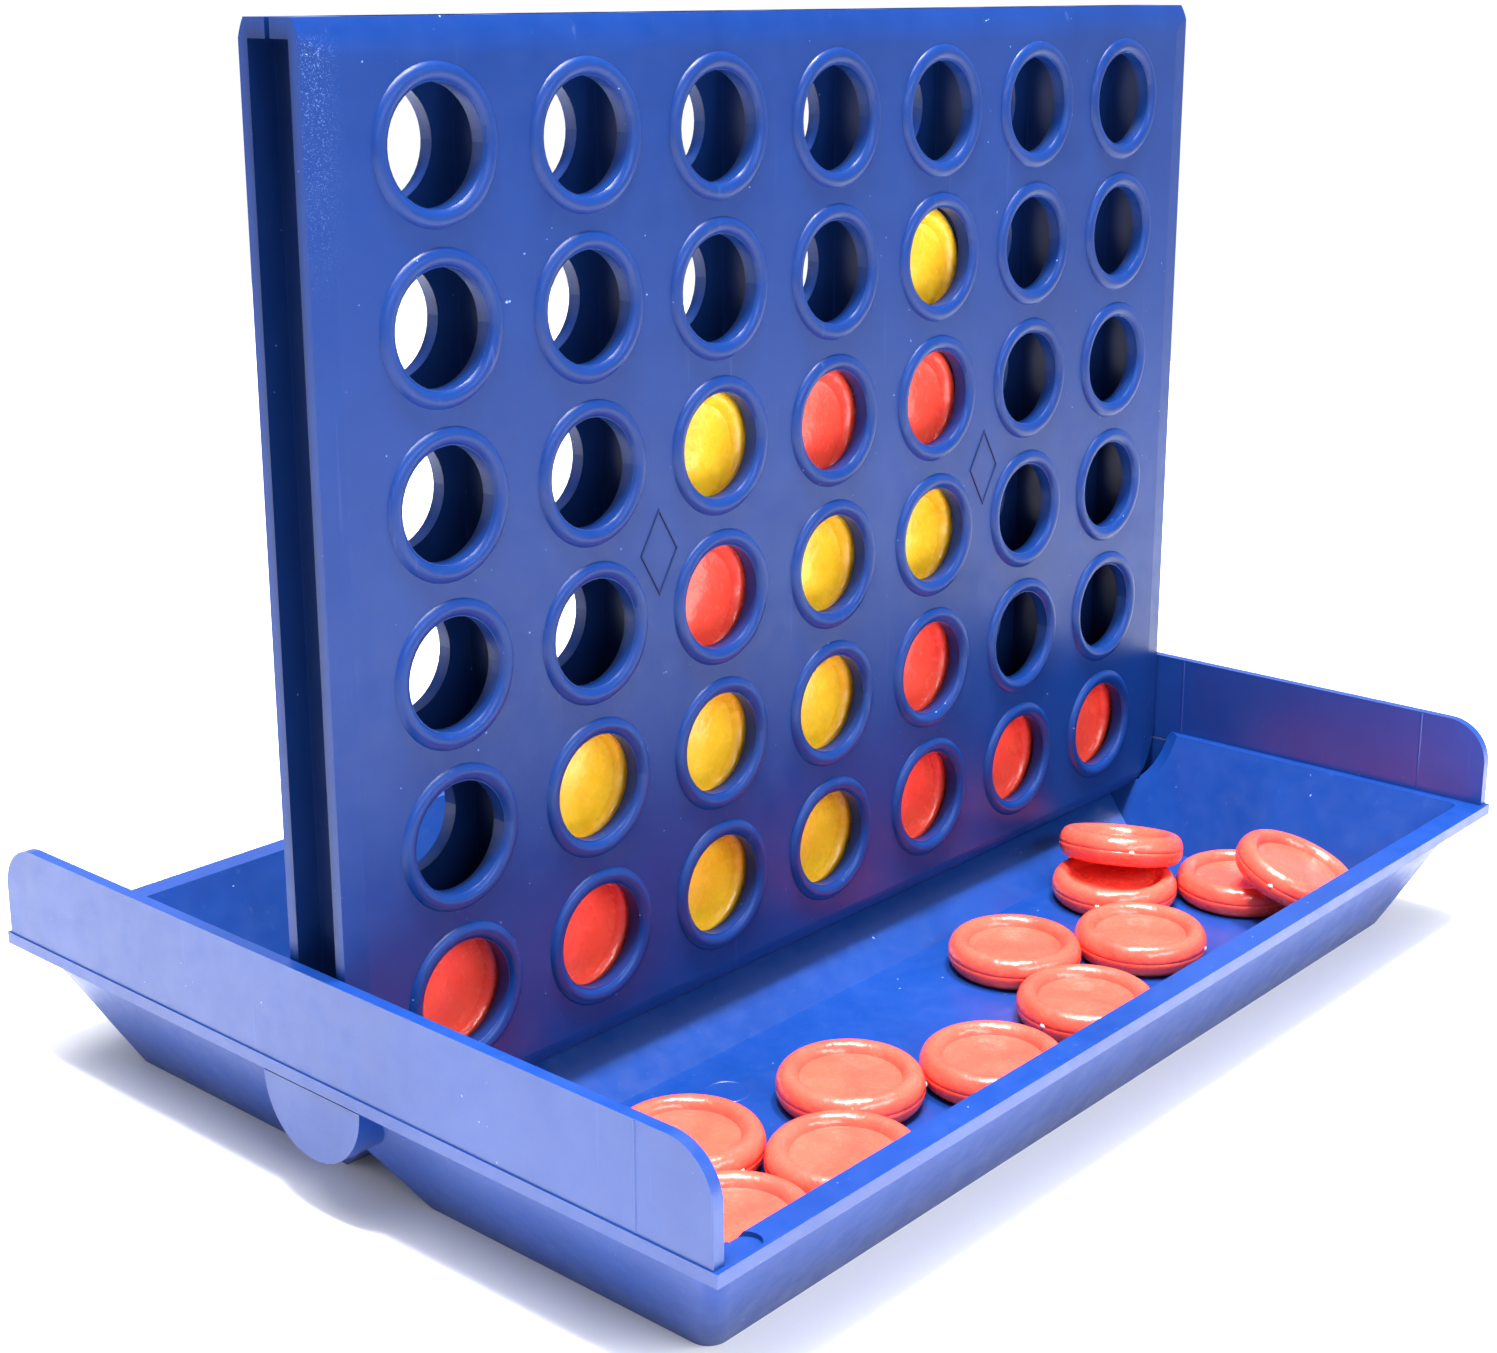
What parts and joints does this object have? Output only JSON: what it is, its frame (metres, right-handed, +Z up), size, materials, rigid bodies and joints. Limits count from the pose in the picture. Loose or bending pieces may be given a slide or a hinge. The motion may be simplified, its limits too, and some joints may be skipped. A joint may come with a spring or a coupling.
{
  "type": "four in a row game frame",
  "caption": "Upright grid of round holes on a twin storage tray, with red and yellow discs; the grid folds down flat over either tray.",
  "frame": {"origin": "on the floor, under the middle of the grid and of the tray", "axes": "+X along the grid to the right, +Y from the front tray to the back tray, +Z up"},
  "size_m": [0.1856, 0.1342, 0.1444],
  "materials": {
    "blue_plastic": "satin moulded blue",
    "red_disc": "glossy moulded red",
    "yellow_disc": "glossy moulded yellow"
  },
  "bodies": {
    "tray": {"tray_base": "blue_plastic"},
    "grid": {"grid_front_shell": "blue_plastic", "grid_back_shell": "blue_plastic"},
    "grid_disc_1_1_red": {"grid_disc_1_1_red": "red_disc"},
    "grid_disc_2_1_red": {"grid_disc_2_1_red": "red_disc"},
    "grid_disc_2_2_yellow": {"grid_disc_2_2_yellow": "yellow_disc"},
    "grid_disc_3_1_yellow": {"grid_disc_3_1_yellow": "yellow_disc"},
    "grid_disc_3_2_yellow": {"grid_disc_3_2_yellow": "yellow_disc"},
    "grid_disc_3_3_red": {"grid_disc_3_3_red": "red_disc"},
    "grid_disc_3_4_yellow": {"grid_disc_3_4_yellow": "yellow_disc"},
    "grid_disc_4_1_yellow": {"grid_disc_4_1_yellow": "yellow_disc"},
    "grid_disc_4_2_yellow": {"grid_disc_4_2_yellow": "yellow_disc"},
    "grid_disc_4_3_yellow": {"grid_disc_4_3_yellow": "yellow_disc"},
    "grid_disc_4_4_red": {"grid_disc_4_4_red": "red_disc"},
    "grid_disc_5_1_red": {"grid_disc_5_1_red": "red_disc"},
    "grid_disc_5_2_red": {"grid_disc_5_2_red": "red_disc"},
    "grid_disc_5_3_yellow": {"grid_disc_5_3_yellow": "yellow_disc"},
    "grid_disc_5_4_red": {"grid_disc_5_4_red": "red_disc"},
    "grid_disc_5_5_yellow": {"grid_disc_5_5_yellow": "yellow_disc"},
    "grid_disc_6_1_red": {"grid_disc_6_1_red": "red_disc"},
    "grid_disc_7_1_red": {"grid_disc_7_1_red": "red_disc"},
    "loose_disc_01_red": {"loose_disc_01_red": "red_disc"},
    "loose_disc_02_red": {"loose_disc_02_red": "red_disc"},
    "loose_disc_03_red": {"loose_disc_03_red": "red_disc"},
    "loose_disc_04_red": {"loose_disc_04_red": "red_disc"},
    "loose_disc_05_red": {"loose_disc_05_red": "red_disc"},
    "loose_disc_06_red": {"loose_disc_06_red": "red_disc"},
    "loose_disc_07_red": {"loose_disc_07_red": "red_disc"},
    "loose_disc_08_red": {"loose_disc_08_red": "red_disc"},
    "loose_disc_09_red": {"loose_disc_09_red": "red_disc"},
    "loose_disc_10_red": {"loose_disc_10_red": "red_disc"},
    "loose_disc_11_red": {"loose_disc_11_red": "red_disc"},
    "loose_disc_12_red": {"loose_disc_12_red": "red_disc"},
    "loose_disc_01_yellow": {"loose_disc_01_yellow": "yellow_disc"},
    "loose_disc_02_yellow": {"loose_disc_02_yellow": "yellow_disc"},
    "loose_disc_03_yellow": {"loose_disc_03_yellow": "yellow_disc"},
    "loose_disc_04_yellow": {"loose_disc_04_yellow": "yellow_disc"},
    "loose_disc_05_yellow": {"loose_disc_05_yellow": "yellow_disc"},
    "loose_disc_06_yellow": {"loose_disc_06_yellow": "yellow_disc"},
    "loose_disc_07_yellow": {"loose_disc_07_yellow": "yellow_disc"},
    "loose_disc_08_yellow": {"loose_disc_08_yellow": "yellow_disc"},
    "loose_disc_09_yellow": {"loose_disc_09_yellow": "yellow_disc"},
    "loose_disc_10_yellow": {"loose_disc_10_yellow": "yellow_disc"},
    "loose_disc_11_yellow": {"loose_disc_11_yellow": "yellow_disc"},
    "loose_disc_12_yellow": {"loose_disc_12_yellow": "yellow_disc"}
  },
  "joints": [
    {"name": "grid_fold", "type": "hinge", "parent": "tray", "child": "grid", "pos_m": [0, 0, 0.0266], "axis": [-1, 0, 0], "range_deg": [-90, 90]},
    {"name": "lift_1_1_red", "type": "slide", "parent": "grid", "child": "grid_disc_1_1_red", "axis": [0, 0, 1], "range_m": [0, 0.1328]},
    {"name": "lift_2_1_red", "type": "slide", "parent": "grid", "child": "grid_disc_2_1_red", "axis": [0, 0, 1], "range_m": [0, 0.1328]},
    {"name": "lift_2_2_yellow", "type": "slide", "parent": "grid_disc_2_1_red", "child": "grid_disc_2_2_yellow", "axis": [0, 0, 1], "range_m": [0, 0.1123]},
    {"name": "lift_3_1_yellow", "type": "slide", "parent": "grid", "child": "grid_disc_3_1_yellow", "axis": [0, 0, 1], "range_m": [0, 0.1328]},
    {"name": "lift_3_2_yellow", "type": "slide", "parent": "grid_disc_3_1_yellow", "child": "grid_disc_3_2_yellow", "axis": [0, 0, 1], "range_m": [0, 0.1123]},
    {"name": "lift_3_3_red", "type": "slide", "parent": "grid_disc_3_2_yellow", "child": "grid_disc_3_3_red", "axis": [0, 0, 1], "range_m": [0, 0.0919]},
    {"name": "lift_3_4_yellow", "type": "slide", "parent": "grid_disc_3_3_red", "child": "grid_disc_3_4_yellow", "axis": [0, 0, 1], "range_m": [0, 0.0714]},
    {"name": "lift_4_1_yellow", "type": "slide", "parent": "grid", "child": "grid_disc_4_1_yellow", "axis": [0, 0, 1], "range_m": [0, 0.1328]},
    {"name": "lift_4_2_yellow", "type": "slide", "parent": "grid_disc_4_1_yellow", "child": "grid_disc_4_2_yellow", "axis": [0, 0, 1], "range_m": [0, 0.1123]},
    {"name": "lift_4_3_yellow", "type": "slide", "parent": "grid_disc_4_2_yellow", "child": "grid_disc_4_3_yellow", "axis": [0, 0, 1], "range_m": [0, 0.0919]},
    {"name": "lift_4_4_red", "type": "slide", "parent": "grid_disc_4_3_yellow", "child": "grid_disc_4_4_red", "axis": [0, 0, 1], "range_m": [0, 0.0714]},
    {"name": "lift_5_1_red", "type": "slide", "parent": "grid", "child": "grid_disc_5_1_red", "axis": [0, 0, 1], "range_m": [0, 0.1328]},
    {"name": "lift_5_2_red", "type": "slide", "parent": "grid_disc_5_1_red", "child": "grid_disc_5_2_red", "axis": [0, 0, 1], "range_m": [0, 0.1123]},
    {"name": "lift_5_3_yellow", "type": "slide", "parent": "grid_disc_5_2_red", "child": "grid_disc_5_3_yellow", "axis": [0, 0, 1], "range_m": [0, 0.0919]},
    {"name": "lift_5_4_red", "type": "slide", "parent": "grid_disc_5_3_yellow", "child": "grid_disc_5_4_red", "axis": [0, 0, 1], "range_m": [0, 0.0714]},
    {"name": "lift_5_5_yellow", "type": "slide", "parent": "grid_disc_5_4_red", "child": "grid_disc_5_5_yellow", "axis": [0, 0, 1], "range_m": [0, 0.051]},
    {"name": "lift_6_1_red", "type": "slide", "parent": "grid", "child": "grid_disc_6_1_red", "axis": [0, 0, 1], "range_m": [0, 0.1328]},
    {"name": "lift_7_1_red", "type": "slide", "parent": "grid", "child": "grid_disc_7_1_red", "axis": [0, 0, 1], "range_m": [0, 0.1328]},
    {"name": "take_01_red", "type": "slide", "parent": "tray", "child": "loose_disc_01_red", "axis": [0, 0, 1], "range_m": [0, 0.06]},
    {"name": "take_02_red", "type": "slide", "parent": "tray", "child": "loose_disc_02_red", "axis": [0, 0, 1], "range_m": [0, 0.06]},
    {"name": "take_03_red", "type": "slide", "parent": "tray", "child": "loose_disc_03_red", "axis": [0, 0, 1], "range_m": [0, 0.06]},
    {"name": "take_04_red", "type": "slide", "parent": "tray", "child": "loose_disc_04_red", "axis": [0, 0, 1], "range_m": [0, 0.06]},
    {"name": "take_05_red", "type": "slide", "parent": "tray", "child": "loose_disc_05_red", "axis": [0, 0, 1], "range_m": [0, 0.06]},
    {"name": "take_06_red", "type": "slide", "parent": "tray", "child": "loose_disc_06_red", "axis": [0, 0, 1], "range_m": [0, 0.06]},
    {"name": "take_07_red", "type": "slide", "parent": "tray", "child": "loose_disc_07_red", "axis": [0, 0, 1], "range_m": [0, 0.06]},
    {"name": "take_08_red", "type": "slide", "parent": "tray", "child": "loose_disc_08_red", "axis": [0, 0, 1], "range_m": [0, 0.06]},
    {"name": "take_09_red", "type": "slide", "parent": "tray", "child": "loose_disc_09_red", "axis": [0, 0, 1], "range_m": [0, 0.06]},
    {"name": "take_10_red", "type": "slide", "parent": "tray", "child": "loose_disc_10_red", "axis": [0, 0, 1], "range_m": [0, 0.06]},
    {"name": "take_11_red", "type": "slide", "parent": "loose_disc_09_red", "child": "loose_disc_11_red", "axis": [0, 0, 1], "range_m": [0, 0.06]},
    {"name": "take_12_red", "type": "slide", "parent": "loose_disc_10_red", "child": "loose_disc_12_red", "axis": [0, 0, 1], "range_m": [0, 0.06]},
    {"name": "take_01_yellow", "type": "slide", "parent": "tray", "child": "loose_disc_01_yellow", "axis": [0, 0, -1], "range_m": [-0.06, 0]},
    {"name": "take_02_yellow", "type": "slide", "parent": "tray", "child": "loose_disc_02_yellow", "axis": [0, 0, -1], "range_m": [-0.06, 0]},
    {"name": "take_03_yellow", "type": "slide", "parent": "tray", "child": "loose_disc_03_yellow", "axis": [0, 0, -1], "range_m": [-0.06, 0]},
    {"name": "take_04_yellow", "type": "slide", "parent": "tray", "child": "loose_disc_04_yellow", "axis": [0, 0, -1], "range_m": [-0.06, 0]},
    {"name": "take_05_yellow", "type": "slide", "parent": "tray", "child": "loose_disc_05_yellow", "axis": [0, 0, -1], "range_m": [-0.06, 0]},
    {"name": "take_06_yellow", "type": "slide", "parent": "tray", "child": "loose_disc_06_yellow", "axis": [0, 0, -1], "range_m": [-0.06, 0]},
    {"name": "take_07_yellow", "type": "slide", "parent": "tray", "child": "loose_disc_07_yellow", "axis": [0, 0, -1], "range_m": [-0.06, 0]},
    {"name": "take_08_yellow", "type": "slide", "parent": "tray", "child": "loose_disc_08_yellow", "axis": [0, 0, -1], "range_m": [-0.06, 0]},
    {"name": "take_09_yellow", "type": "slide", "parent": "tray", "child": "loose_disc_09_yellow", "axis": [0, 0, -1], "range_m": [-0.06, 0]},
    {"name": "take_10_yellow", "type": "slide", "parent": "tray", "child": "loose_disc_10_yellow", "axis": [0, 0, -1], "range_m": [-0.06, 0]},
    {"name": "take_11_yellow", "type": "slide", "parent": "tray", "child": "loose_disc_11_yellow", "axis": [0, 0, -1], "range_m": [-0.06, 0]},
    {"name": "take_12_yellow", "type": "slide", "parent": "tray", "child": "loose_disc_12_yellow", "axis": [0, 0, -1], "range_m": [-0.06, 0]}
  ]
}
